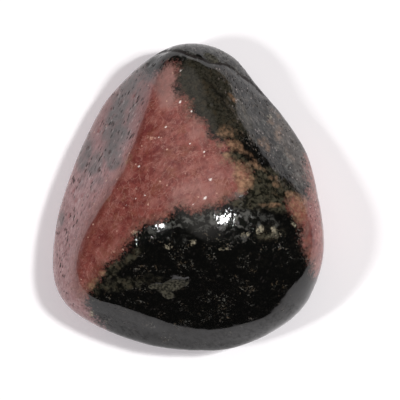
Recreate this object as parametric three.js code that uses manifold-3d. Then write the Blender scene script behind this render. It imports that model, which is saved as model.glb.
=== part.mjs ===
import * as THREE from 'three';
import { mergeVertices } from 'three/addons/utils/BufferGeometryUtils.js';
import Module from 'manifold-3d';

// A tumbled rhodonite: one solid pebble of pink and black stone, about 30 x 26.5 x 12 mm.
// It began as a broken chunk with flat faces, and the tumbling barrel wore every edge round.
// Millimetres, +Z up. +Y runs from the broad end to the narrow end, and +X is to the right
// when the stone is seen from above with its narrow end at the top.

// Driving dimensions
const LENGTH = 30;
const WIDTH = 26.5;
const HEIGHT = 12;

// How much the underside is worn flat where the stone rests
const REST_WEAR = 0.04;

// How sharp the worn edges stay, per millimetre: a larger number gives tighter edges.
const EDGE_SHARPNESS = 1.7;

// Each edge of the ball that the stone is shaped from is split this many times.
const BALL_DETAIL = 15;

// How often the search for the worn surface halves its range
const HALVINGS = 40;

// Each face of the chunk, as it looks out from the stone's middle. turn is the compass way in degrees,
// anticlockwise from +X. tilt is the angle from straight up: 0 looks up, 90 sideways, 180 down.
// reach is how far the face stands from the middle, in millimetres.
const FACES = [
  // The upper side
  { name: 'pink crown', turn: 122, tilt: 17, reach: 5.6 },
  { name: 'left crown', turn: 184, tilt: 29, reach: 5.25 },
  { name: 'dark crown', turn: 50, tilt: 17, reach: 6.3 },
  { name: 'right crown', turn: 5, tilt: 23, reach: 6.8 },
  { name: 'front ridge, left', turn: 226, tilt: 25, reach: 5.9 },
  { name: 'front face', turn: 264, tilt: 37, reach: 7.0 },
  { name: 'front foot, left', turn: 253, tilt: 50, reach: 8.4 },
  { name: 'front foot, right', turn: 279, tilt: 50, reach: 9.3 },
  { name: 'left flank', turn: 153, tilt: 54, reach: 7.0 },
  { name: 'left flank, lower', turn: 166, tilt: 54, reach: 7.7 },
  { name: 'right flank', turn: 34, tilt: 53, reach: 9.3 },
  { name: 'right shoulder', turn: 352, tilt: 60, reach: 12.8 },
  { name: 'right corner, upper', turn: 318, tilt: 55, reach: 12.0 },
  { name: 'left shoulder', turn: 180, tilt: 56, reach: 8.2 },
  { name: 'left corner, upper', turn: 222, tilt: 56, reach: 10.7 },
  { name: 'narrow end, upper', turn: 82, tilt: 58, reach: 14.3 },
  // The girdle, which gives the outline seen from above
  { name: 'left edge', turn: 150, tilt: 94, reach: 12.7 },
  { name: 'left corner', turn: 205, tilt: 96, reach: 14.7 },
  { name: 'left side', turn: 180, tilt: 96, reach: 16.4 },
  { name: 'lower left edge', turn: 238, tilt: 96, reach: 14.3 },
  { name: 'broad end', turn: 264, tilt: 96, reach: 17.6 },
  { name: 'lower right edge', turn: 303, tilt: 96, reach: 15.1 },
  { name: 'right corner', turn: 338, tilt: 96, reach: 15.2 },
  { name: 'right edge', turn: 8, tilt: 94, reach: 14.0 },
  { name: 'upper right edge', turn: 38, tilt: 94, reach: 15.7 },
  { name: 'knob, right', turn: 60, tilt: 94, reach: 16.9 },
  { name: 'narrow end', turn: 90, tilt: 94, reach: 17.1 },
  { name: 'knob, left', turn: 118, tilt: 94, reach: 15.1 },
  // The underside
  { name: 'belly', turn: 0, tilt: 180, reach: 6.5 },
  { name: 'belly, left', turn: 170, tilt: 155, reach: 8.9 },
  { name: 'belly, right', turn: 22, tilt: 156, reach: 9.5 },
  { name: 'belly, narrow end', turn: 85, tilt: 155, reach: 9.4 },
  { name: 'belly, broad end', turn: 262, tilt: 152, reach: 9.7 },
];

// Shallow hollows that the tumbling didn't reach. turn and tilt say where, as for the faces.
// level is the half-width along the girdle and upright the half-width up the side, in millimetres.
const HOLLOWS = [
  { name: 'dip in the upper right edge', turn: 55, tilt: 98, level: 4.2, upright: 3.6, depth: 0.38 },
  { name: 'leaf-shaped hollow on the front', turn: 267, tilt: 66, level: 1.9, upright: 1.2, depth: 0.3 },
  { name: 'small hollow below it', turn: 262, tilt: 73, level: 1.2, upright: 0.9, depth: 0.2 },
  { name: 'hollow in the left flank', turn: 124, tilt: 88, level: 3.2, upright: 1.8, depth: 0.15 },
  { name: 'flake from the narrow end', turn: 97, tilt: 92, level: 1.8, upright: 1.1, depth: 0.25 },
  { name: 'hollow in the underside', turn: 30, tilt: 138, level: 4.0, upright: 2.6, depth: 0.3 },
];

const { Manifold, Mesh } = await startManifold();

async function startManifold() {
  const library = await Module();
  library.setup();
  return library;
}

function outwardOf({ turn, tilt }) {
  const round = THREE.MathUtils.degToRad(turn);
  const fall = THREE.MathUtils.degToRad(tilt);
  return new THREE.Vector3(Math.sin(fall) * Math.cos(round), Math.sin(fall) * Math.sin(round), Math.cos(fall));
}

const planes = FACES.map((face) => ({ out: outwardOf(face), reach: face.reach }));

// Above 1 outside the worn stone, below 1 inside it
function wornField(point) {
  return planes.reduce((sum, { out, reach }) => sum + Math.exp(EDGE_SHARPNESS * (out.dot(point) - reach)), 0);
}

// The distance from the middle to the worn surface along one direction
function surfaceDistance(direction) {
  const probe = new THREE.Vector3();
  let inside = 0;
  let outside = LENGTH;
  for (let step = 0; step < HALVINGS; step++) {
    const half = (inside + outside) / 2;
    probe.copy(direction).multiplyScalar(half);
    if (wornField(probe) > 1) outside = half;
    else inside = half;
  }
  return inside;
}

// A hollow's centre on the worn surface, with its level and upright ways
function placeHollow(hollow) {
  const out = outwardOf(hollow);
  const centre = out.clone().multiplyScalar(surfaceDistance(out));
  const levelWay = new THREE.Vector3(0, 0, 1).cross(out).normalize();
  const uprightWay = out.clone().cross(levelWay);
  return { ...hollow, centre, levelWay, uprightWay };
}

const hollows = HOLLOWS.map(placeHollow);

// How deep the hollows press the surface in at one point, deepest at their centres and smooth at their rims
function pressedIn(point) {
  let depth = 0;
  for (const hollow of hollows) {
    const away = point.clone().sub(hollow.centre);
    const across = away.dot(hollow.levelWay) / hollow.level;
    const up = away.dot(hollow.uprightWay) / hollow.upright;
    const inwards = away.length() / (hollow.level + hollow.upright);
    const spread = across * across + up * up;
    if (spread < 1 && inwards < 1) depth += hollow.depth * (1 - spread) ** 2;
  }
  return depth;
}

function wornStone() {
  const ball = new THREE.IcosahedronGeometry(1, BALL_DETAIL);
  ball.deleteAttribute('normal');
  ball.deleteAttribute('uv');
  const stone = mergeVertices(ball);
  const position = stone.getAttribute('position');
  const proportions = new THREE.Vector3(WIDTH, LENGTH, HEIGHT);
  const direction = new THREE.Vector3();
  const point = new THREE.Vector3();
  for (let i = 0; i < position.count; i++) {
    direction.fromBufferAttribute(position, i);
    direction.multiply(proportions).normalize();
    point.copy(direction).multiplyScalar(surfaceDistance(direction));
    point.addScaledVector(direction, -pressedIn(point));
    position.setXYZ(i, point.x, point.y, point.z);
  }
  return stone;
}

// Wears the lowest part of the underside flat.
function withRestingSpot(geometry) {
  geometry.computeBoundingBox();
  const floor = geometry.boundingBox.min.z + REST_WEAR;
  const solid = new Manifold(new Mesh({
    numProp: 3,
    vertProperties: new Float32Array(geometry.getAttribute('position').array),
    triVerts: new Uint32Array(geometry.index.array),
  }));
  const worn = solid.trimByPlane([0, 0, 1], floor).getMesh();
  const rested = new THREE.BufferGeometry();
  rested.setAttribute('position', new THREE.Float32BufferAttribute(worn.vertProperties, worn.numProp));
  rested.setIndex(new THREE.BufferAttribute(worn.triVerts, 1));
  return rested;
}

// Brings the stone to its driving dimensions, standing on z = 0 with the box's middle over the origin.
function placed(geometry) {
  geometry.computeBoundingBox();
  const { min, max } = geometry.boundingBox;
  geometry.translate(-(min.x + max.x) / 2, -(min.y + max.y) / 2, -min.z);
  geometry.scale(WIDTH / (max.x - min.x), LENGTH / (max.y - min.y), HEIGHT / (max.z - min.z));
  return geometry;
}

const stoneMaterial = new THREE.MeshStandardMaterial({ color: 0x8a5552, roughness: 0.15, metalness: 0 });
const stone = new THREE.Mesh(placed(withRestingSpot(wornStone())), stoneMaterial);
stone.name = 'stone';

const group = new THREE.Group();
group.add(stone);
export default group;
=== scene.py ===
# %% [markdown]
# # A tumbled rhodonite
# This lesson dresses one small pebble: a broken chunk of pink and black stone that a tumbling barrel
# wore round and polished. The solid model gives its form and its size. Here it gets a finer skin, the few
# scars that the barrel left, the pattern of the stone, and a quiet studio.

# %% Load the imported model
import bpy
import numpy as np
from math import cos, radians, sin
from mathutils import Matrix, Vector


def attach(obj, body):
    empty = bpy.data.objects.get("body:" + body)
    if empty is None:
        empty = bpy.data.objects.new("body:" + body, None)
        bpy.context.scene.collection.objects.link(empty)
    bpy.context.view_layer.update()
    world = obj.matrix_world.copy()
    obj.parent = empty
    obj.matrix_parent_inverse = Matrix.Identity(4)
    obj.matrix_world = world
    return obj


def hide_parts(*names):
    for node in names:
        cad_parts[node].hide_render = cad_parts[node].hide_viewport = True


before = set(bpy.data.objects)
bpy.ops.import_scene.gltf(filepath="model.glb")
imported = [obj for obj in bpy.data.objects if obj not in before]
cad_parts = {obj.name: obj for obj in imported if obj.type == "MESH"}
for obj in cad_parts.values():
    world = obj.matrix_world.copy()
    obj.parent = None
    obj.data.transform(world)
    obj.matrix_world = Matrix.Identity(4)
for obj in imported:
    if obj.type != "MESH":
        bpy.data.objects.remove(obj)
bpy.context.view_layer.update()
MM = 0.001

# %% [markdown]
# ## The fine skin
# The solid has facets of about 0.8 mm, which a polished stone would show as a net of little mirrors.
# A copy of it could be subdivided, but its flat resting spot has long thin triangles that would pinch.
# So the copy is merged, remeshed into even cells much finer than the facets, and smoothed until the
# facets are gone.

# %% Copy the solid and merge its loose triangles
MERGED_WITHIN = 0.001 * MM


def only(piece):
    """Selects one piece and nothing else."""
    bpy.ops.object.select_all(action="DESELECT")
    piece.select_set(True)
    bpy.context.view_layer.objects.active = piece


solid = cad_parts["stone"]
only(solid)
bpy.ops.object.duplicate()
stone = bpy.context.active_object
stone.name = "polished_stone"
bpy.ops.object.mode_set(mode="EDIT")
bpy.ops.mesh.select_all(action="SELECT")
bpy.ops.mesh.remove_doubles(threshold=MERGED_WITHIN)
bpy.ops.object.mode_set(mode="OBJECT")
print("merged copy:", len(stone.data.vertices), "points")

# %% Remesh it finely and smooth the facets away
CELL = 0.155 * MM
SMOOTHING_STEPS = 26
SMOOTHING_FACTOR = 0.5
bpy.ops.object.modifier_add(type="REMESH")
remesh = stone.modifiers[-1]
remesh.mode = "VOXEL"
remesh.voxel_size = CELL
bpy.ops.object.modifier_apply(modifier=remesh.name)
bpy.ops.object.modifier_add(type="SMOOTH")
smooth = stone.modifiers[-1]
smooth.factor = SMOOTHING_FACTOR
smooth.iterations = SMOOTHING_STEPS
bpy.ops.object.modifier_apply(modifier=smooth.name)
print("fine skin:", len(stone.data.vertices), "points")

# %% [markdown]
# ## Reading and moving the points
# A sculptor's brush moves the points near it along the surface's own way out. The same is done here in
# code: each scar says how deep it is at every point, and all the points are pressed in together.
# Places are in millimetres, seen from above: x to the right, y towards the narrow end.


# %% Read the points in millimetres
def read(piece, what):
    """A row of three numbers for every point."""
    numbers = np.empty(len(piece.data.vertices) * 3, np.float32)
    piece.data.vertices.foreach_get(what, numbers)
    return numbers.reshape(-1, 3).astype(float)


def ease(low, high, value):
    """0 at low, 1 at high and a smooth change between. Low may be the larger number."""
    t = np.clip((value - low) / (high - low), 0, 1)
    return t * t * (3 - 2 * t)


points = read(stone, "co") / MM
normals = read(stone, "normal")
facing_up = ease(-0.1, 0.25, normals[:, 2])
print("highest point, mm:", round(points[:, 2].max(), 2))


# %% Measure from a line, an oval and an outline
def line_distance(xy, path):
    """Distance of each point from a path of straight stretches."""
    nearest = np.full(len(xy), np.inf)
    for a, b in zip(np.array(path[:-1], float), np.array(path[1:], float)):
        along = np.clip(((xy - a) @ (b - a)) / ((b - a) @ (b - a)), 0, 1)
        nearest = np.minimum(nearest, np.linalg.norm(xy - a - along[:, None] * (b - a), axis=1))
    return nearest


def oval(xy, x, y, long, wide, heading):
    """1 in the middle of an oval, 0.5 on its edge and 0 at half as far again."""
    turn = radians(heading)
    dx, dy = xy[:, 0] - x, xy[:, 1] - y
    along = (dx * cos(turn) + dy * sin(turn)) / long
    across = (dy * cos(turn) - dx * sin(turn)) / wide
    return 1 - ease(0.5, 1.5, np.hypot(along, across))


def inside_by(xy, outline):
    """Distance from an outline, positive inside it."""
    closed = list(outline) + [outline[0]]
    inside = np.zeros(len(xy), bool)
    for (ax, ay), (bx, by) in zip(closed[:-1], closed[1:]):
        crosses = (ay > xy[:, 1]) != (by > xy[:, 1])
        with np.errstate(divide="ignore", invalid="ignore"):
            left = xy[:, 0] < ax + (xy[:, 1] - ay) * (bx - ax) / (by - ay)
        inside ^= crosses & left
    return np.where(inside, 1, -1) * line_distance(xy, closed)


# %% [markdown]
# ## The rim
# The solid's flat faces cut its corners a little short. Where the real rim is fuller, the skin is drawn
# outwards by a few tenths of a millimetre, and where it is slimmer it is drawn in. The crown stays.

# %% Draw the rim out or in
# Compass way in degrees, anticlockwise from +X, and how many millimetres the rim moves outwards there
RIM_MOVES = [(0, 0.08), (20, 0.3), (40, 0.0), (55, 0.12), (70, 0.42), (82, 0.2), (95, 0.1), (110, 0.0),
             (125, -0.2), (150, 0.0), (180, -0.18), (195, 0.0), (215, 0.15), (235, 0.3), (257, 0.42),
             (275, 0.12), (300, 0.36), (320, 0.4), (345, 0.12)]
# The rim's usual distance from the middle, in millimetres
RIM_RADIUS = 12.5
outwards = np.hypot(points[:, 0], points[:, 1])
compass = np.degrees(np.arctan2(points[:, 1], points[:, 0])) % 360
moved = np.interp(compass, *zip(*RIM_MOVES), period=360)
moved *= ease(0.75, 0.97, outwards / RIM_RADIUS) * ease(1.0, 4.0, points[:, 2])
points[:, :2] *= 1 + (moved / np.maximum(outwards, 1))[:, None]
print("rim moved by at most, mm:", round(float(np.abs(moved).max()), 2))

# %% [markdown]
# ## The flanks beyond their edges
# Seen from above, a polished flank mirrors the white sheet where its slope passes about 46 degrees. The
# solid has the real slopes only roughly. So past each worn edge the skin is lowered, which steepens the
# flank there, or raised, which eases it. A few tenths of a millimetre put the bright band in its place.

# %% The edge lines
# Each point of a line has its place and the slope by which the skin drops beyond it, or rises if negative.
LEFT_EDGE = [(-4.3, 7.9, 0.0), (-5.0, 5.5, 0.08), (-6.0, 2.7, 0.16), (-7.4, 0.3, 0.22), (-8.9, -1.9, 0.18),
             (-10.0, -3.6, 0.12), (-10.6, -5.3, 0.14), (-10.8, -6.8, 0.18), (-10.3, -8.1, 0.2),
             (-9.5, -9.2, 0.22), (-8.3, -9.8, 0.18), (-6.5, -10.2, 0.15), (-4.6, -10.7, 0.14),
             (-3.0, -11.3, 0.13), (-1.5, -11.9, 0.08), (0.2, -12.6, 0.0)]
RIGHT_EDGE = [(11.3, -1.1, 0.0), (10.4, -0.1, -0.06), (9.5, 1.15, -0.1), (8.4, 2.0, -0.1), (7.1, 3.5, -0.1),
              (5.6, 5.45, -0.1), (4.5, 7.5, -0.14), (3.9, 9.4, -0.16), (3.2, 10.7, -0.14), (2.1, 11.6, 0.0)]
FRONT_EDGE = [(0.2, -11.8, 0.0), (1.9, -11.8, -0.05), (3.5, -11.3, -0.1), (5.1, -10.6, -0.13),
              (6.7, -9.9, -0.16), (8.1, -9.3, -0.1), (9.6, -8.6, 0.0), (11.0, -7.8, 0.0)]
FOOT_EDGE = [(-1.6, -11.95, 0.0), (0.15, -12.55, 0.1), (1.9, -12.8, 0.14), (3.7, -12.55, 0.15),
             (5.5, -12.0, 0.16), (7.3, -11.3, 0.14), (8.9, -10.4, 0.06), (10.4, -8.8, 0.0)]
KNOB_EDGE = [(7.5, 10.1, 0.0), (5.2, 11.95, 0.2), (2.8, 13.1, 0.28), (-0.5, 14.2, 0.28), (-3.1, 14.15, 0.2),
             (-4.2, 13.6, 0.0)]
# Each edge line with how far beyond it the slope goes on
EDGES = [(LEFT_EDGE, 1.3), (RIGHT_EDGE, 0.9), (FRONT_EDGE, 1.7), (FOOT_EDGE, 1.4), (KNOB_EDGE, 1.6)]
print("edge lines:", len(EDGES))


# %% Steepen or ease the flanks
def beyond(edge_line, reach):
    """How far each point drops past an edge line, going on for a reach."""
    x, y, slopes = np.array(edge_line).T
    ways = np.unwrap(np.arctan2(y, x))
    middle = (ways[0] + ways[-1]) / 2
    turned = np.angle(np.exp(1j * (np.radians(compass) - middle)))
    order = np.argsort(ways)
    line = np.interp(turned, (ways - middle)[order], np.hypot(x, y)[order])
    slope = np.interp(turned, (ways - middle)[order], slopes[order])
    return slope * np.clip(outwards - line, 0, reach)


drop = sum(beyond(edge_line, reach) for edge_line, reach in EDGES) * ease(3, 5.5, points[:, 2])
points[:, 2] -= drop
print("flanks moved by at most, mm:", round(float(np.abs(drop).max()), 2))

# %% [markdown]
# ## Scars
# A ledge runs round the narrow end, where a thin flake came off before the stone was polished. The front
# has a leaf-shaped hollow that the polish hardly reached, and the flanks have small pits along the grain.

# %% The ledge round the narrow end
LEDGE = [(-3.1, 14.15), (-2.1, 14.35), (-1.1, 14.3), (-0.5, 14.2), (0.2, 13.85), (1.4, 13.5), (2.1, 13.15),
         (2.8, 13.1), (3.7, 13.0), (4.5, 12.55), (5.2, 11.95), (6.1, 11.35), (6.8, 10.8), (7.5, 10.1)]
LEDGE_DEPTH = 0.09
LEDGE_WIDTH = 0.3
xy = points[:, :2]
ledge = line_distance(xy, LEDGE)
pressed = LEDGE_DEPTH * np.exp(-((ledge / LEDGE_WIDTH) ** 2)) * facing_up
print("points in the ledge:", int((pressed > LEDGE_DEPTH / 2).sum()))

# %% The hollows in the front and the rough spot by the ledge
# Each is an oval: its place, its half-lengths, its heading and its depth.
HOLLOWS = [(-1.4, -8.5, 1.35, 0.5, 14, 0.08), (-1.9, -9.4, 0.6, 0.35, -20, 0.05),
           (-3.2, -8.6, 0.6, 0.25, 10, 0.08), (2.3, 13.6, 0.8, 0.35, -30, 0.12)]
for *place, depth in HOLLOWS:
    pressed += depth * oval(xy, *place) * facing_up
print("deepest scar, mm:", round(pressed.max(), 3))

# %% Pits along the grain of the flanks
PITS = [(-7.4, 8.7), (-7.3, 7.25), (-8.65, 6.5), (-7.5, 4.4), (-8.3, 4.2), (-8.6, 2.7), (-9.3, 1.6),
        (-10.5, 1.6), (-10.2, 0.2), (-10.8, -0.3), (-11.5, -1.8), (-12.8, -2.6), (-6.9, 10.1),
        (-7.0, 10.8), (-5.1, 9.9), (-6.4, 9.4), (-3.8, 13.0), (-2.0, 14.5), (3.3, 14.0), (2.3, 10.4),
        (2.2, 8.9), (10.1, 5.5), (10.5, 5.15), (10.9, 4.7), (11.6, 3.0), (8.7, 8.5), (0.0, -7.9),
        (-9.7, 4.9), (-11.1, 0.6)]
PIT_HEADING = 62
PIT_LONG = 0.24
PIT_WIDE = 0.14
PIT_DEPTH = 0.07
for x, y in PITS:
    pressed += PIT_DEPTH * oval(xy, x, y, PIT_LONG, PIT_WIDE, PIT_HEADING) * facing_up
print("pits:", len(PITS))

# %% Press all the scars in
points -= normals * pressed[:, None]
stone.data.vertices.foreach_set("co", (points * MM).ravel())
stone.data.update()
print("mean depth of the scars, mm:", round(pressed.mean(), 4))

# %% [markdown]
# ## The barrel's unevenness
# A tumbled stone is polished but never true. Two cloudy textures push its skin in and out by a few
# hundredths of a millimetre, which is what breaks a highlight into several.


# %% Push the skin in and out
def uneven(piece, name, size, strength):
    """Pushes a piece's skin to and fro by half the strength each way."""
    texture = bpy.data.textures.new(name, "CLOUDS")
    texture.noise_scale = size
    texture.noise_depth = 2
    only(piece)
    bpy.ops.object.modifier_add(type="DISPLACE")
    push = piece.modifiers[-1]
    push.texture = texture
    push.texture_coords = "LOCAL"
    push.strength = strength
    push.mid_level = 0.5
    bpy.ops.object.modifier_apply(modifier=push.name)


uneven(stone, "broad_waves", 5 * MM, 0.1 * MM)
uneven(stone, "small_waves", 1.3 * MM, 0.02 * MM)
bpy.ops.object.shade_smooth()
print("box after the waves, mm:", [round(v / MM, 2) for v in stone.dimensions])

# %% [markdown]
# ## Where the stone changes
# Rhodonite is a pink mineral, and manganese oxide has turned it black along cracks. The border between them
# is drawn as one outline, as on a geologist's sketch. How far each point lies inside it is kept on the mesh
# as an attribute, and the material makes the ragged edge. The underside has veins of its own.

# %% The outline of the black part from above, and of its veins below
BLACK = [
    (-4.6, 14.6), (-4.3, 12.5), (-3.5, 12.1), (-2.8, 12.4), (-2.2, 12.85), (-1.5, 13.15), (-0.95, 13.0),
    (-0.8, 12.6), (-1.05, 12.2), (-0.95, 11.5), (-1.2, 10.9), (-1.35, 10.3), (-1.0, 9.95), (-0.3, 9.8),
    (0.15, 9.5), (0.2, 8.8), (0.15, 8.3), (0.6, 8.1), (1.1, 7.7), (1.6, 7.35), (1.95, 6.8), (2.05, 6.2),
    (2.5, 5.7), (3.0, 5.35), (3.6, 5.35), (4.2, 5.05), (4.0, 4.6), (3.6, 4.15), (4.0, 3.7), (4.7, 3.35),
    (5.3, 2.9), (5.9, 2.6), (6.0, 2.0), (5.85, 1.4), (5.6, 0.8), (5.1, 0.4), (4.5, 0.15), (4.0, -0.1),
    (3.5, -0.45), (2.9, -0.7), (2.2, -0.85), (1.3, -1.2), (0.6, -1.4), (0.1, -1.1), (-0.5, -0.8),
    (-1.0, -0.75), (-1.4, -1.1), (-1.7, -1.7), (-2.2, -2.2), (-3.2, -2.35), (-4.2, -2.6), (-4.7, -2.9),
    (-5.1, -3.4), (-5.4, -4.1), (-5.9, -4.6), (-6.4, -5.2), (-6.8, -5.9), (-7.4, -6.3), (-8.1, -6.7),
    (-8.35, -7.3), (-8.8, -7.9), (-9.2, -8.5), (-9.6, -9.2), (-9.9, -9.9), (-9.9, -10.7), (-9.4, -11.6),
    (-8.6, -12.4), (-8.0, -13.2), (-7.6, -15.0), (2.0, -17.0), (12.0, -14.0), (14.5, -9.2), (12.8, -8.4),
    (12.2, -7.4), (11.9, -6.2), (11.4, -5.1), (11.0, -4.3), (11.0, -3.4), (11.05, -2.7), (10.75, -2.2),
    (10.2, -1.6), (9.85, -1.0), (9.6, -0.4), (10.0, 0.05), (10.6, 0.1), (11.2, -0.2), (11.6, 0.1),
    (11.85, 1.0), (11.7, 2.0), (11.5, 3.0), (11.5, 4.0), (11.9, 4.8), (13.5, 5.5), (10.0, 14.0),
    (4.0, 17.0), (-3.0, 17.0),
]
BLACK_BELOW = [(-7, 15), (-3, 9), (-6, 5), (-2, 1), (1, 3), (4, -2), (2, -6), (-5, -9), (-9, -13), (4, -18),
               (15, -10), (11, -3), (7, 0), (8, 5), (14, 7), (8, 16)]
print("corners of the outline:", len(BLACK))

# %% Keep the resting spot flat and measure the black part
# The waves pushed a little of the skin below the floor, where the real stone is worn flat.
points = read(stone, "co") / MM
points[:, 2] = np.maximum(points[:, 2], 0)
stone.data.vertices.foreach_set("co", (points * MM).ravel())
xy = points[:, :2]
underneath = ease(0.1, -0.5, normals[:, 2])
black = (1 - underneath) * inside_by(xy, BLACK) + underneath * inside_by(xy, BLACK_BELOW)
print("share of the points in the black part:", round(float((black > 0).mean()), 2))

# %% [markdown]
# ## Stains and grains
# Along the border the black has stained the pink tan, grey smoke lies over the left flank, and a few pale
# grains sit in the black. Each is a named oval: its place, its half-lengths, its heading and its strength.

# %% Stains in the pink: tan, grey smoke, deep red, bright and faded
TAN = [
    (3.6, 6.2, 0.9, 0.9, 0, 0.4), (4.2, 5.1, 1.2, 0.6, -10, 0.6), (5.4, 2.0, 1.5, 0.9, 95, 0.9),
    (5.6, 4.3, 1.3, 0.4, -42, 0.45), (6.6, 3.3, 1.3, 0.4, -42, 0.45), (3.9, 3.6, 0.8, 0.8, 0, 0.5),
    (7.6, 5.2, 0.8, 0.5, -45, 0.75), (8.9, 6.0, 1.1, 0.5, 85, 0.45), (10.0, 4.1, 0.9, 0.25, -55, 0.45),
    (5.0, 6.3, 0.6, 0.3, -40, 0.4), (8.7, 1.3, 0.5, 0.35, -30, 0.7), (9.7, 0.35, 0.5, 0.35, 0, 0.7),
    (8.3, 1.9, 0.5, 0.3, 0, 0.6), (10.8, -0.9, 0.8, 1.3, 0, 0.85), (-9.5, -8.7, 0.5, 0.4, 40, 0.4),
    (8.0, -0.7, 1.0, 0.25, 0, 0.5), (8.1, 7.4, 0.4, 0.3, -40, 0.6), (8.7, 8.3, 0.6, 0.25, -50, 0.6),
    (4.4, 9.7, 0.6, 0.25, -40, 0.5), (-5.6, 3.9, 0.9, 0.3, 60, 0.4), (-7.4, 0.1, 0.9, 0.3, 50, 0.35),
    (-8.6, -7.6, 0.8, 0.3, 40, 0.5), (-10.4, -9.3, 0.5, 0.4, 60, 0.4),
]
SMOKE = [
    (-4.8, 12.1, 1.2, 0.9, 45, 0.85), (-5.8, 10.8, 1.4, 0.9, 55, 0.9), (-6.6, 9.2, 1.4, 0.9, 70, 1.0),
    (-7.0, 7.7, 1.4, 1.0, 80, 1.0), (-7.0, 6.2, 1.4, 1.3, 0, 1.0), (-7.4, 4.6, 1.4, 1.0, 70, 1.0),
    (-7.2, 3.4, 0.9, 0.8, 45, 0.9), (-9.0, 3.4, 1.4, 0.8, 68, 0.9), (-10.0, 4.3, 1.9, 0.7, 75, 0.9),
    (-2.7, 11.6, 0.8, 1.8, 10, 0.4), (11.6, -3.6, 0.8, 2.0, 0, 0.35), (-12.5, -2.2, 1.0, 0.4, 75, 0.6),
    (-8.9, 1.5, 1.2, 0.6, 60, 0.45), (-10.2, 1.8, 1.4, 0.6, 70, 0.4), (-4.6, 10.2, 1.6, 0.7, 65, 0.55),
    (-5.6, 8.4, 1.5, 0.6, 70, 0.65), (-3.7, 12.0, 0.9, 0.6, 60, 0.9),
]
DEEP = [
    (-4.6, 6.2, 2.6, 0.3, 76, 0.7), (-5.7, 4.0, 2.0, 0.35, 64, 0.75), (-7.2, 1.2, 2.6, 0.45, 58, 0.75),
    (-8.8, -1.6, 2.2, 0.55, 60, 1.0), (-10.1, -4.4, 2.2, 0.6, 68, 1.0), (-10.8, -7.0, 1.8, 0.5, 84, 0.9),
    (-4.0, 9.4, 1.9, 0.25, 80, 0.6), (-8.2, -4.2, 3.0, 1.3, 62, 0.5), (-5.8, -1.6, 2.6, 1.2, 50, 0.45),
    (-3.2, 3.2, 2.2, 1.2, 50, 0.4), (-2.6, 7.2, 1.6, 0.8, 70, 0.35), (-6.3, -4.9, 1.4, 0.5, 40, 0.6),
    (-9.1, -7.6, 1.4, 0.5, 55, 0.7),
]
BRIGHT = [
    (1.0, 0.6, 2.8, 1.3, 10, 0.65), (3.4, 2.2, 2.0, 1.2, 0, 0.5), (-2.2, -0.6, 1.6, 1.0, 0, 0.3),
    (0.9, 6.4, 0.9, 1.4, 30, 0.55), (-2.1, 11.0, 0.9, 2.2, 0, 1.2), (10.5, -1.0, 0.7, 1.0, 0, 0.2),
]
FADED = [(-1.9, 11.4, 1.4, 2.6, 0, 1.0)]
print("stains in the pink:", len(TAN + SMOKE + DEEP + BRIGHT + FADED))

# %% Patches in the black: grey haze and crown grey, both partly a painted sheen, olive, pale grains, dust and dimples
# The haze ovals mark grey grains with a painted sheen, beside the highlights, on the knob and on the right
# flank.
HAZE_AND_SHEEN = [
    (-1.9, -2.5, 1.9, 0.55, 14, 1.0), (0.7, -2.5, 1.5, 0.8, 0, 1.0), (3.4, -2.6, 1.7, 0.8, -8, 1.0),
    (5.6, -2.0, 1.6, 1.0, -10, 0.9), (2.2, -1.5, 1.4, 0.5, 0, 0.9), (-3.4, -3.5, 1.2, 0.5, 30, 0.5),
    (7.6, -2.4, 1.4, 0.8, 0, 0.6), (4.6, -3.9, 1.3, 0.6, 0, 0.5), (-0.4, -4.0, 1.6, 0.5, 0, 0.35),
    (-3.0, 13.9, 2.4, 0.8, 20, 0.9), (1.6, 14.3, 2.8, 0.9, -10, 1.0), (0.3, 13.4, 1.5, 0.7, -15, 1.0),
    (4.8, 12.5, 1.8, 0.8, -45, 0.8), (7.2, 8.4, 3.4, 1.4, -52, 0.45), (10.2, 3.6, 3.0, 1.3, -62, 0.7),
]
# The crown grey is partly the black stone's own grey and partly a painted sheen of the bright sky.
CROWN_AND_SHEEN = [
    (0.6, 10.9, 2.2, 1.3, -60, 1.0), (2.2, 9.0, 2.6, 1.3, -55, 1.0), (3.4, 7.2, 1.8, 1.1, -50, 0.9),
    (1.0, 12.4, 1.4, 0.8, -40, 0.9), (4.8, 8.6, 2.4, 0.8, -58, 1.1), (3.2, 11.2, 1.8, 0.8, -55, 1.1),
    (5.9, 6.5, 1.4, 0.5, -55, 0.5),
]
OLIVE = [
    (7.6, 1.0, 2.6, 1.7, -30, 1.0), (4.6, 3.6, 1.4, 0.8, -20, 0.9), (5.4, -0.4, 1.6, 0.9, -20, 0.9),
    (4.4, 7.0, 1.6, 1.2, -40, 0.6), (9.2, -0.4, 1.2, 1.2, 0, 0.7), (8.0, -3.4, 1.6, 0.9, 0, 0.5),
    (-6.2, -8.3, 2.6, 0.7, 10, 0.55), (-3.4, -8.0, 1.2, 0.6, 10, 0.4), (-7.2, -7.0, 1.6, 0.6, 40, 0.6),
    (-5.3, -5.6, 1.4, 0.5, 40, 0.5), (-8.7, -8.7, 1.0, 0.6, 60, 0.6),
]
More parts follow.
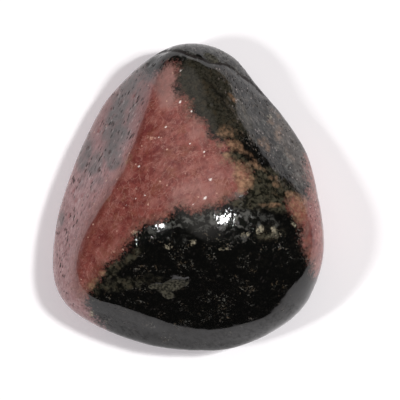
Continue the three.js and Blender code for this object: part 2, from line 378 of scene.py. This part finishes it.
# One pale spot, at (-5.15, -3.3), is a painted highlight.
PALE = [
    (7.0, -3.1, 0.42, 0.34, 30, 0.9), (8.35, -3.1, 0.34, 0.22, -30, 0.9), (10.3, -2.65, 0.3, 0.2, -40, 0.8),
    (8.2, -3.65, 0.4, 0.25, 0, 0.3), (9.2, -3.5, 0.35, 0.25, 0, 0.25), (0.55, -4.3, 0.35, 0.35, 0, 0.4),
    (-1.85, -4.7, 0.45, 0.3, 20, 0.45), (-7.0, -5.2, 0.5, 0.3, 20, 0.4), (3.4, -4.9, 0.65, 0.16, 0, 0.4),
    (-5.15, -3.3, 0.34, 0.18, 15, 0.9), (-9.45, -11.35, 0.25, 0.35, 0, 0.8), (-3.5, 5.75, 0.2, 0.16, 20, 0.9),
    (-2.45, 10.6, 0.3, 0.25, 0, 0.45), (8.05, 7.95, 0.4, 0.26, -20, 0.5), (3.0, -3.9, 0.3, 0.45, 0, 0.4),
    (5.6, -3.6, 0.45, 0.3, 0, 0.3), (0.4, 8.8, 0.3, 0.2, 0, 0.4),
]
DUSTY = [(9.9, 5.6, 3.4, 1.0, -62, 1.0), (11.0, 2.6, 1.4, 0.8, -75, 0.8)]
DIMPLED = [(3.9, -2.1, 1.9, 1.0, 0, 1.0)]
print("patches in the black:", len(HAZE_AND_SHEEN + CROWN_AND_SHEEN + OLIVE + PALE + DUSTY + DIMPLED))

# %% Painted glints in the pink: tiny lamp highlights on cleavage faces, painted almost white
# Each has its place and its size.
GLINTS = [
    (2.2, 1.75, 0.2), (1.7, -0.05, 0.22), (0.6, -0.6, 0.16), (-4.7, 3.05, 0.18), (-3.75, 2.8, 0.12),
    (-2.75, 5.9, 0.12), (1.6, 4.45, 0.14), (-0.7, 9.25, 0.2), (0.35, 8.35, 0.18), (-0.65, 12.35, 0.14),
    (-5.0, -0.1, 0.12), (-5.95, -0.75, 0.12), (-2.1, 6.85, 0.12), (-4.1, 0.2, 0.1), (0.2, 5.2, 0.1),
]
GLINT_LONG = 0.8
GLINT_WIDE = 0.55
GLINT_HEADING = 40
print("glints:", len(GLINTS))


# %% Keep the stains on the mesh
def stain(ovals):
    """How strongly a list of ovals colours every point of the upper side."""
    field = np.zeros(len(xy))
    for x, y, long, wide, heading, strength in ovals:
        field = np.maximum(field, strength * oval(xy, x, y, long, wide, heading))
    return field * (1 - underneath)


def keep(name, field):
    """One number for every point, which the material reads by its name."""
    attribute = stone.data.attributes.new(name, "FLOAT", "POINT")
    attribute.data.foreach_set("value", field.astype(np.float32))


keep("black", black)
keep("dimpled", stain(DIMPLED))
glint_ovals = [(x, y, size * GLINT_LONG, size * GLINT_WIDE, GLINT_HEADING, 1.0) for x, y, size in GLINTS]
keep("glint", stain(glint_ovals))
keep("raw", stain([(*place, 1.0) for *place, depth in HOLLOWS]))
STAINS = {"tan": TAN, "smoke": SMOKE, "deep": DEEP, "olive": OLIVE, "pale": PALE, "bright": BRIGHT,
          "haze_and_sheen": HAZE_AND_SHEEN, "crown": CROWN_AND_SHEEN, "faded": FADED, "dusty": DUSTY}
for name, ovals in STAINS.items():
    keep(name, stain(ovals))
print("kinds of stain:", len(STAINS))

# %% Keep where the stone is steep, pale mauve with a painted reflection, worn or near the ledge
# Slopes in degrees. The other numbers are places in millimetres between which a mark comes in.
FLANKS_FROM = 38
FLANKS_BY = 54
FAR_FROM_LEDGE = 9
steep = ease(cos(radians(FLANKS_FROM)), cos(radians(FLANKS_BY)), normals[:, 2])
right_flank = ease(2, 4, xy[:, 0]) * ease(-1.5, 0.5, xy[:, 1])
knob_top = ease(-2.2, -0.8, xy[:, 0]) * ease(11, 12, xy[:, 1])
broad_end = ease(-9, -11, xy[:, 1])
keep("flank", steep)
# Where the flanks turn pale mauve, partly a painted reflection of the white sheet.
keep("mauve_and_reflection", steep * (1 - 0.8 * ease(4, 8, xy[:, 0])))
keep("upper", ease(2, 8, xy[:, 1]))
keep("bared", steep * right_flank)
keep("scuffed", steep * np.maximum(right_flank, np.maximum(knob_top, broad_end)))
keep("pitted", steep * ease(-11, -6, xy[:, 1] - 0.4 * xy[:, 0]))
keep("ledge", np.where(underneath < 0.5, line_distance(xy, LEDGE), FAR_FROM_LEDGE))
print("attributes:", [a.name for a in stone.data.attributes if a.domain == "POINT"])

# %% [markdown]
# ## The material
# One Principled shader does all of it. Noise at several sizes makes the mottled pink, the grains in the
# black and the ragged border. The pattern is measured in millimetres inside the stone, so it runs through
# it as real mineral does. Rhodonite bends light by 1.73, but a barrel's polish is never perfect, and the
# real stone mirrors no more than glass. So the shader's number is nearer to glass.


# %% Small helpers that add nodes
class Recipe:
    """A material whose nodes are added one by one, each method giving back what it made."""

    def __init__(self, name):
        self.material = bpy.data.materials.new(name)
        self.material.use_nodes = True
        self.tree = self.material.node_tree
        self.shader = self.tree.nodes["Principled BSDF"]
        self.place = self.add("ShaderNodeMapping")
        self.place.inputs["Scale"].default_value = (1 / MM,) * 3
        self.link(self.add("ShaderNodeTexCoord").outputs["Object"], self.place.inputs["Vector"])

    def add(self, kind, **settings):
        node = self.tree.nodes.new(kind)
        for key, value in settings.items():
            setattr(node, key, value)
        return node

    def link(self, source, target):
        self.tree.links.new(source, target)

    def feed(self, node, name, value):
        """A number or colour is set, and anything else is linked."""
        socket = node.inputs[name]
        if isinstance(value, bpy.types.NodeSocket):
            self.link(value, socket)
        else:
            socket.default_value = value

    def along(self, heading, stretch):
        """Millimetres, drawn out along a heading seen from above."""
        turned = self.add("ShaderNodeMapping")
        turned.inputs["Rotation"].default_value = (0, 0, -radians(heading))
        self.link(self.place.outputs[0], turned.inputs["Vector"])
        drawn = self.add("ShaderNodeMapping")
        drawn.inputs["Scale"].default_value = (1 / stretch, 1, 1)
        self.link(turned.outputs[0], drawn.inputs["Vector"])
        return drawn.outputs[0]

    def noise(self, size, detail=3, roughness=0.5, distortion=0, where=None):
        """Cloudy noise with a grain of about the given size in millimetres."""
        node = self.add("ShaderNodeTexNoise")
        self.link(where or self.place.outputs[0], node.inputs["Vector"])
        node.inputs["Scale"].default_value = 1 / size
        node.inputs["Detail"].default_value = detail
        node.inputs["Roughness"].default_value = roughness
        node.inputs["Distortion"].default_value = distortion
        return node.outputs[0]

    def stirred(self, size, reach, where=None):
        """Places pushed about by noise, so that dots and patches lose their plain shapes."""
        cloud = self.add("ShaderNodeTexNoise")
        self.link(where or self.place.outputs[0], cloud.inputs["Vector"])
        cloud.inputs["Scale"].default_value = 1 / size
        push = self.add("ShaderNodeVectorMath", operation="MULTIPLY_ADD")
        self.link(cloud.outputs["Color"], push.inputs[0])
        push.inputs[1].default_value = (reach,) * 3
        self.link(where or self.place.outputs[0], push.inputs[2])
        return push.outputs[0]

    def specks(self, size, where=None):
        """Distance from the nearest of many scattered dots, and each dot's own random number."""
        node = self.add("ShaderNodeTexVoronoi")
        self.link(where or self.place.outputs[0], node.inputs["Vector"])
        node.inputs["Scale"].default_value = 1 / size
        chance = self.add("ShaderNodeSeparateColor")
        self.link(node.outputs["Color"], chance.inputs[0])
        return node.outputs["Distance"], chance.outputs[0]

    def math(self, operation, a, b=0.0, c=0.0):
        node = self.add("ShaderNodeMath", operation=operation)
        for i, value in enumerate((a, b, c)):
            self.feed(node, i, value)
        return node.outputs[0]

    def times(self, a, b):
        return self.math("MULTIPLY", a, b)

    def larger(self, a, b):
        return self.math("MAXIMUM", a, b)

    def plus(self, base, value, factor):
        """The base with a value added, times a factor."""
        return self.math("MULTIPLY_ADD", value, factor, base)

    def ramp(self, value, low, high, start=0.0, end=1.0):
        """Start at low, end at high and a smooth change between."""
        node = self.add("ShaderNodeMapRange", interpolation_type="SMOOTHSTEP")
        for name, number in (("Value", value), ("From Min", low), ("From Max", high),
                             ("To Min", start), ("To Max", end)):
            self.feed(node, name, number)
        return node.outputs[0]

    def blend(self, share, under, over):
        """One colour laid over another by a share from 0 to 1."""
        node = self.add("ShaderNodeMix", data_type="RGBA")
        self.feed(node, 0, share)
        self.feed(node, 6, under)
        self.feed(node, 7, over)
        return node.outputs[2]

    def kept(self, name):
        """A number that was kept on the mesh."""
        node = self.add("ShaderNodeAttribute", attribute_name=name)
        return node.outputs["Fac"]


def paint(red, green, blue):
    return (red, green, blue, 1)


r = Recipe("rhodonite")
print("recipe started")

# %% Pink: mottled rose with streaks, rust, wine and fine grains
ROSE_SHADE = paint(0.14, 0.032, 0.028)
ROSE = paint(0.255, 0.07, 0.058)
PALE_ROSE = paint(0.3, 0.11, 0.092)
RUST = paint(0.2, 0.07, 0.04)
WINE = paint(0.12, 0.022, 0.024)
LIGHT_GRAIN = paint(0.4, 0.19, 0.165)
DARK_GRAIN = paint(0.08, 0.016, 0.014)
grain_way = r.along(PIT_HEADING, 2.4)
streak_way = r.along(28, 2.6)
mottle = r.noise(0.7, 5, 0.7)
pink = r.blend(r.ramp(mottle, 0.34, 0.64), ROSE_SHADE, ROSE)
pink = r.blend(r.ramp(r.noise(1.3, 5, 0.65, 0.4, streak_way), 0.44, 0.64, 0, 0.75), pink, PALE_ROSE)
pink = r.blend(r.ramp(r.noise(1.3, 4, 0.6), 0.5, 0.7, 0, 0.6), pink, RUST)
pink = r.blend(r.ramp(r.noise(1.05, 4, 0.6), 0.5, 0.66, 0, 0.55), pink, WINE)
pink = r.blend(r.ramp(r.noise(0.24, 3, 0.6, 0, grain_way), 0.54, 0.7, 0, 0.45), pink, LIGHT_GRAIN)
pink = r.blend(r.ramp(r.noise(0.3, 3, 0.6, 0, grain_way), 0.56, 0.68, 0, 0.42), pink, DARK_GRAIN)
print("nodes with the pink ground:", len(r.tree.nodes))

# %% Pink: pale veinlets
VEINLET = paint(0.44, 0.22, 0.18)


def veinlets(size, thin, strength):
    """Thin lines where a noise passes through its middle value."""
    away = r.math("ABSOLUTE", r.math("SUBTRACT", r.noise(size, 4, 0.55, 0.5), 0.5))
    return r.ramp(away, thin, 0, 0, strength)


pink = r.blend(r.larger(veinlets(1.7, 0.016, 0.45), veinlets(0.9, 0.02, 0.3)), pink, VEINLET)
print("nodes with the veinlets:", len(r.tree.nodes))


# %% Ragged edges for the stains
def shaking(size, detail, roughness, where=None):
    """A noise around zero, which pushes an edge to and fro."""
    return r.math("SUBTRACT", r.noise(size, detail, roughness, 0, where), 0.5)


ragged = shaking(0.8, 5, 0.7)
streaked = shaking(0.55, 5, 0.7, grain_way)
soft_ragged = shaking(1.0, 3, 0.6)
fine_ragged = shaking(0.26, 3, 0.65)


def edge(name, rough, low=0.3, high=0.7, coarse=ragged, fine=fine_ragged):
    """A kept field whose edge is made ragged at two sizes. It stays 0 where the field is 0."""
    field = r.kept(name)
    shaken = r.plus(r.plus(field, fine, rough), coarse, rough)
    return r.times(r.ramp(shaken, low, high), r.ramp(field, 0.0, 0.3))


print("nodes with the ragged edges:", len(r.tree.nodes))

# %% Pink: the brown fringe, the bright, faded and deep patches, the mauve flanks with a painted reflection and the painted sparkles
FRINGE = paint(0.15, 0.085, 0.062)
BRIGHT_PINK = paint(0.37, 0.185, 0.165)
FADED_PINK = paint(0.36, 0.225, 0.205)
DEEP_RED = paint(0.125, 0.025, 0.017)
MAUVE = paint(0.27, 0.14, 0.146)
PALE_MAUVE = paint(0.47, 0.29, 0.3)
DUSKY_MAUVE = paint(0.18, 0.075, 0.075)
SPARKLE_COLOUR = paint(0.6, 0.36, 0.28)
fringe = r.times(r.ramp(r.kept("black"), -1.4, 0.0), r.ramp(r.noise(0.5, 4, 0.7), 0.34, 0.58))
pink = r.blend(r.times(fringe, 0.6), pink, FRINGE)
bright = edge("bright", 1.0, 0.0, 1.1, soft_ragged, soft_ragged)
pink = r.blend(r.times(bright, 0.48), pink, BRIGHT_PINK)
faded = edge("faded", 0.8, 0.0, 1.0, ragged, soft_ragged)
pink = r.blend(r.times(faded, 0.3), pink, FADED_PINK)
deep = edge("deep", 1.2, 0.05, 1.2, streaked, soft_ragged)
pink = r.blend(r.times(deep, 0.7), pink, DEEP_RED)
# The flanks' pale mauve: the pink's duller tone there, made paler still by a painted reflection of the white
# sheet.
mauve = r.blend(r.ramp(r.noise(0.36, 5, 0.7, 0, grain_way), 0.34, 0.66), MAUVE, PALE_MAUVE)
mauve = r.blend(r.times(r.kept("upper"), 0.65), mauve, DUSKY_MAUVE)
pink = r.blend(r.times(r.kept("mauve_and_reflection"), 0.78), pink, mauve)
# Painted sparkles: tiny lamp highlights on the pink's grains, painted into the colour.
near_dot, chance = r.specks(0.6, r.stirred(0.3, 0.22))
painted_sparkle = r.times(r.ramp(near_dot, 0.2, 0.08), r.ramp(chance, 0.76, 0.82))
pink = r.blend(r.times(painted_sparkle, 0.8), pink, SPARKLE_COLOUR)
print("nodes with all the pink:", len(r.tree.nodes))

# %% Black: soot with clusters of brown and grey grains
SOOT = paint(0.0022, 0.0022, 0.002)
PALER_SOOT = paint(0.006, 0.0055, 0.0045)
BROWN_GRAIN = paint(0.075, 0.055, 0.035)
GREY_GRAIN = paint(0.13, 0.125, 0.11)
soot = r.blend(r.ramp(r.noise(0.4, 4, 0.7), 0.5, 0.72), SOOT, PALER_SOOT)
by_the_border = r.times(r.ramp(r.kept("black"), 1.2, 0.1), r.ramp(r.noise(0.8, 3, 0.6), 0.42, 0.56))
clusters = r.larger(r.ramp(r.noise(1.3, 3, 0.6), 0.5, 0.63), by_the_border)
coarse_grain = r.ramp(r.noise(0.34, 4, 0.7, 0.3), 0.56, 0.66)
fine_grain = r.ramp(r.noise(0.16, 2, 0.6), 0.6, 0.7)
grain = r.times(r.larger(coarse_grain, fine_grain), clusters)
grain_colour = r.blend(r.ramp(r.noise(0.5, 2), 0.4, 0.6), BROWN_GRAIN, GREY_GRAIN)
soot = r.blend(r.times(grain, 0.9), soot, grain_colour)
print("nodes with the soot:", len(r.tree.nodes))

# %% Black: olive patches, and the haze and crown patches with their painted sheen
OLIVE_SHADE = paint(0.005, 0.005, 0.003)
OLIVE_GREY = paint(0.055, 0.05, 0.034)
OLIVE_BROWN = paint(0.07, 0.052, 0.032)
HAZE_SHEEN_DARK = paint(0.006, 0.006, 0.005)
HAZE_GREY_AND_SHEEN = paint(0.085, 0.084, 0.077)
HAZE_SHEEN_GAP = paint(0.005, 0.005, 0.004)
CROWN_SHADE = paint(0.01, 0.009, 0.006)
CROWN_GREY_AND_SHEEN = paint(0.036, 0.033, 0.024)
CROWN_BROWN = paint(0.048, 0.036, 0.022)
olive = r.blend(r.ramp(r.noise(0.5, 4, 0.65, 0.3), 0.38, 0.64), OLIVE_SHADE, OLIVE_GREY)
olive = r.blend(r.ramp(r.noise(0.7, 3, 0.6), 0.52, 0.68, 0, 0.5), olive, OLIVE_BROWN)
black_stone = r.blend(edge("olive", 1.2, 0.1, 0.9, ragged, soft_ragged), soot, olive)
# Grey haze: grey grains with a painted sheen, standing for the lamps' glow beside the highlights and the
# white sheet's reflection on the knob and right flank.
haze_and_sheen = r.blend(r.ramp(r.noise(0.65, 4, 0.65, 0.3), 0.45, 0.62), HAZE_SHEEN_DARK, HAZE_GREY_AND_SHEEN)
haze_and_sheen = r.blend(r.ramp(r.noise(0.9, 4, 0.65), 0.5, 0.6, 0, 0.9), haze_and_sheen, HAZE_SHEEN_GAP)
black_stone = r.blend(edge("haze_and_sheen", 1.8, 0.1, 1.0, ragged, soft_ragged), black_stone, haze_and_sheen)
# Painted sheen: the crown grey is lighter than the stone's own black and stands in part for the sky's
# reflection.
crown = r.blend(r.ramp(r.noise(0.3, 5, 0.75), 0.36, 0.66), CROWN_SHADE, CROWN_GREY_AND_SHEEN)
crown = r.blend(r.ramp(r.noise(0.7, 4, 0.7), 0.5, 0.66, 0, 0.55), crown, CROWN_BROWN)
black_stone = r.blend(edge("crown", 1.0, 0.1, 0.8, ragged, soft_ragged), black_stone, crown)
print("nodes with all the black:", len(r.tree.nodes))

# %% The smoke over the pink, and the border with the black
SMOKE_SHADE = paint(0.035, 0.042, 0.042)
SMOKE_GREY = paint(0.105, 0.118, 0.118)
smoke = edge("smoke", 1.0, -0.05, 1.3, streaked, soft_ragged)
pink = r.blend(r.times(smoke, 0.84), pink, r.blend(mottle, SMOKE_SHADE, SMOKE_GREY))
border = r.ramp(r.plus(r.plus(r.kept("black"), fine_ragged, 1.9), ragged, 2.0), -0.6, 0.5)
stone_colour = r.blend(border, pink, black_stone)
print("nodes with the border:", len(r.tree.nodes))

# %% The tan stains, the pale grains and the painted glints
TAN_SHADE = paint(0.11, 0.065, 0.038)
TAN_LIGHT = paint(0.4, 0.23, 0.14)
PALE_IN_PINK = paint(0.6, 0.33, 0.24)
PALE_IN_BLACK = paint(0.33, 0.29, 0.21)
GLINT = paint(0.95, 0.85, 0.8)
tan = r.blend(r.ramp(r.noise(0.4, 4, 0.7), 0.34, 0.66), TAN_SHADE, TAN_LIGHT)
tan_share = r.plus(0.85, r.kept("flank"), -0.35)
tan_stain = r.times(edge("tan", 1.5, 0.05, 1.3, soft_ragged, soft_ragged), tan_share)
stone_colour = r.blend(tan_stain, stone_colour, tan)
pale = r.blend(border, PALE_IN_PINK, PALE_IN_BLACK)
broken = r.ramp(r.noise(0.2, 3, 0.7), 0.36, 0.56, 0.15, 1)
stone_colour = r.blend(r.times(edge("pale", 3.0, 0.2, 1.2), broken), stone_colour, pale)
# The glints are painted highlights, almost white under any lamp.
stone_colour = r.blend(r.times(edge("glint", 1.8, 0.3, 0.8), 0.8), stone_colour, GLINT)
print("nodes with the stains:", len(r.tree.nodes))


# %% Pits: short dark strokes along the grain, most of them on the flanks
def strokes(size, wide, share):
    """Short strokes along the grain: how wide they are and what share of the places has one."""
    dot, chance = r.specks(size, r.stirred(0.3, 0.08, r.along(PIT_HEADING, 2.8)))
    return r.times(r.ramp(dot, wide, wide * 0.4), r.ramp(chance, 1 - share, 1.04 - share))


patchy = r.ramp(r.noise(1.5, 3), 0.36, 0.56, 0.25, 1)
flanks = r.times(r.plus(0.06, r.kept("pitted"), 0.94), patchy)
pits = r.times(r.larger(strokes(0.4, 0.34, 0.6), strokes(0.24, 0.4, 0.55)), flanks)
rims = r.times(strokes(0.3, 0.36, 0.3), flanks)
print("nodes with the pits:", len(r.tree.nodes))

# %% Worn places: bare and dusty patches, pits with pale rims, the ledge and the raw hollows
BARE = paint(0.36, 0.3, 0.26)
DUST = paint(0.45, 0.37, 0.33)
PIT_RIM = paint(0.6, 0.5, 0.48)
PIT = paint(0.012, 0.008, 0.007)
RAW_SHADE = paint(0.012, 0.011, 0.008)
RAW_GREY = paint(0.095, 0.088, 0.065)
right_way = r.along(-58, 2.2)
bare = r.times(r.ramp(r.noise(0.4, 5, 0.75, 0.3, right_way), 0.5, 0.66), r.kept("bared"))
stone_colour = r.blend(r.times(bare, 0.2), stone_colour, BARE)
dusty = edge("dusty", 1.0, 0.0, 1.0, streaked, soft_ragged)
stone_colour = r.blend(r.times(dusty, 0.1), stone_colour, DUST)
stone_colour = r.blend(r.times(rims, 0.35), stone_colour, PIT_RIM)
crack = r.ramp(r.math("ADD", r.kept("ledge"), r.times(ragged, 0.5)), 0.2, 0.05)
dark_marks = r.larger(r.times(pits, 0.9), r.times(crack, 0.8))
stone_colour = r.blend(dark_marks, stone_colour, PIT)
raw = edge("raw", 1.2, 0.15, 0.6)
rough_grey = r.blend(r.ramp(r.noise(0.22, 3, 0.7), 0.4, 0.62), RAW_SHADE, RAW_GREY)
stone_colour = r.blend(r.times(raw, 0.75), stone_colour, rough_grey)
r.link(stone_colour, r.shader.inputs["Base Color"])
print("nodes with all the colour:", len(r.tree.nodes))

# %% Polish: satin flanks, dull pits, scuffs and raw hollows
LIGHT_BENDING = 1.52
satin = r.times(r.kept("flank"), 0.04)
dull = r.larger(r.times(dark_marks, 0.5), r.times(raw, 0.55))
r.link(r.math("ADD", r.larger(dull, satin), 0.05), r.shader.inputs["Roughness"])
scuffs = r.times(r.ramp(r.noise(0.45, 6, 0.8, 0.3, right_way), 0.46, 0.62), r.kept("scuffed"))
worn = r.larger(dark_marks, r.larger(r.times(raw, 0.8), r.times(scuffs, 0.6)))
r.link(r.plus(0.5, worn, -0.45), r.shader.inputs["Specular IOR Level"])
r.shader.inputs["IOR"].default_value = LIGHT_BENDING
print("nodes with the polish:", len(r.tree.nodes))

# %% Relief too fine for the mesh
RELIEF_STRENGTH = 0.5
RELIEF_HEIGHT = 0.018 * MM
dimples = r.times(r.noise(0.55, 2, 0.5), r.plus(0.4, r.kept("dimpled"), 2.2))
relief = r.plus(dimples, r.times(grain, border), 0.3)
wrinkled = r.plus(r.times(raw, 5), r.kept("pitted"), 0.8)
wrinkles = r.times(r.noise(0.5, 5, 0.7, 0, grain_way), wrinkled)
height = r.plus(r.math("ADD", relief, wrinkles), dark_marks, -2.5)
bump = r.add("ShaderNodeBump")
bump.inputs["Strength"].default_value = RELIEF_STRENGTH
bump.inputs["Distance"].default_value = RELIEF_HEIGHT
r.link(height, bump.inputs["Height"])
r.link(bump.outputs[0], r.shader.inputs["Normal"])
stone.data.materials.clear()
stone.data.materials.append(r.material)
print("material nodes:", len(r.tree.nodes))

# %% [markdown]
# ## The studio
# The floor is a plain white sheet. The stone's steep flanks mirror it, which draws the pale band round the
# rim. Two soft lamps, to the left and the right, cast the two shadows and stay out of the mirror image.
# A small lamp near each of them makes a highlight. The sky is bright only high up, which greys the crown.

# %% Floor
SHEET_SIZE = 3
SHEET_WHITE = paint(0.9, 0.9, 0.9)
# The sheet glows faintly with a lilac tint: painted light that lightens the shadows on it.
SHEET_GLOW = paint(1.0, 0.84, 0.98)
GLOW_STRENGTH = 0.15
bpy.ops.object.select_all(action="DESELECT")
bpy.ops.mesh.primitive_plane_add(size=SHEET_SIZE, location=(0, 0, 0))
floor = bpy.context.active_object
floor.name = "floor"
paper = bpy.data.materials.new("white_sheet")
paper.use_nodes = True
paper_shader = paper.node_tree.nodes["Principled BSDF"]
paper_shader.inputs["Base Color"].default_value = SHEET_WHITE
paper_shader.inputs["Roughness"].default_value = 0.9
paper_shader.inputs["Specular IOR Level"].default_value = 0.1
paper_shader.inputs["Emission Color"].default_value = SHEET_GLOW
paper_shader.inputs["Emission Strength"].default_value = GLOW_STRENGTH
floor.data.materials.append(paper)
print("floor, m:", SHEET_SIZE)

# %% Sky: dark at the sides and bright high up, leaning a little
SKY_LEAN = 20
SKY_DARK = paint(0.02, 0.02, 0.02)
SKY_BRIGHT = paint(0.56, 0.53, 0.5)
BRIGHT_FROM = 0.78
BRIGHT_BY = 0.95
bpy.context.scene.view_settings.view_transform = "Standard"
world = bpy.data.worlds.new("room")
bpy.context.scene.world = world
world.use_nodes = True
sky = world.node_tree
ways = sky.nodes.new("ShaderNodeTexCoord")
leaned = sky.nodes.new("ShaderNodeMapping")
leaned.inputs["Rotation"].default_value = (radians(SKY_LEAN), 0, 0)
upward = sky.nodes.new("ShaderNodeSeparateXYZ")
fade = sky.nodes.new("ShaderNodeValToRGB")
fade.color_ramp.interpolation = "EASE"
dark_end, bright_end = fade.color_ramp.elements
dark_end.position = BRIGHT_FROM
dark_end.color = SKY_DARK
bright_end.position = BRIGHT_BY
bright_end.color = SKY_BRIGHT
sky.links.new(ways.outputs["Generated"], leaned.inputs["Vector"])
sky.links.new(leaned.outputs[0], upward.inputs[0])
sky.links.new(upward.outputs["Z"], fade.inputs[0])
sky.links.new(fade.outputs[0], sky.nodes["Background"].inputs["Color"])
print("sky nodes:", len(sky.nodes))

# %% Lamps
LAMP_DISTANCE = 0.5


def lamp(name, compass, from_zenith, width, tall, watts, mirrored=True):
    """An oval lamp, from a compass way and an angle from straight up."""
    turn, fall = radians(compass), radians(from_zenith)
    way = Vector((sin(fall) * cos(turn), sin(fall) * sin(turn), cos(fall)))
    facing = way.to_track_quat("Z", "Y").to_euler()
    bpy.ops.object.light_add(type="AREA", location=way * LAMP_DISTANCE, rotation=facing)
    light = bpy.context.active_object
    light.name = name
    light.data.shape = "ELLIPSE"
    light.data.size = width
    light.data.size_y = tall
    light.data.energy = watts
    light.visible_glossy = mirrored


lamp("left_lamp", 190, 39.5, 0.06, 0.06, 0.78, mirrored=False)
lamp("left_spark", 194.5, 43.8, 0.011, 0.014, 0.22)
lamp("right_lamp", 12, 34.5, 0.08, 0.08, 1.05, mirrored=False)
lamp("right_spark", 17, 31.5, 0.022, 0.08, 0.7)

# %% Camera
VIEW_WIDTH = 39.16 * MM
CAMERA_HEIGHT = 0.42
SENSOR = 36
LOOKS_AT = Vector((1.22 * MM, -0.22 * MM, 5 * MM))
bpy.ops.object.camera_add(location=LOOKS_AT + Vector((0, 0, CAMERA_HEIGHT)), rotation=(0, 0, 0))
camera = bpy.context.active_object
camera.data.sensor_width = SENSOR
camera.data.lens = SENSOR * CAMERA_HEIGHT / VIEW_WIDTH
camera.data.clip_start = 0.01
bpy.context.scene.camera = camera
print("lens, mm:", round(camera.data.lens, 1))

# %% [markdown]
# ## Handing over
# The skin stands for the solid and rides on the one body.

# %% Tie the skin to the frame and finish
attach(stone, "root")
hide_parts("stone")
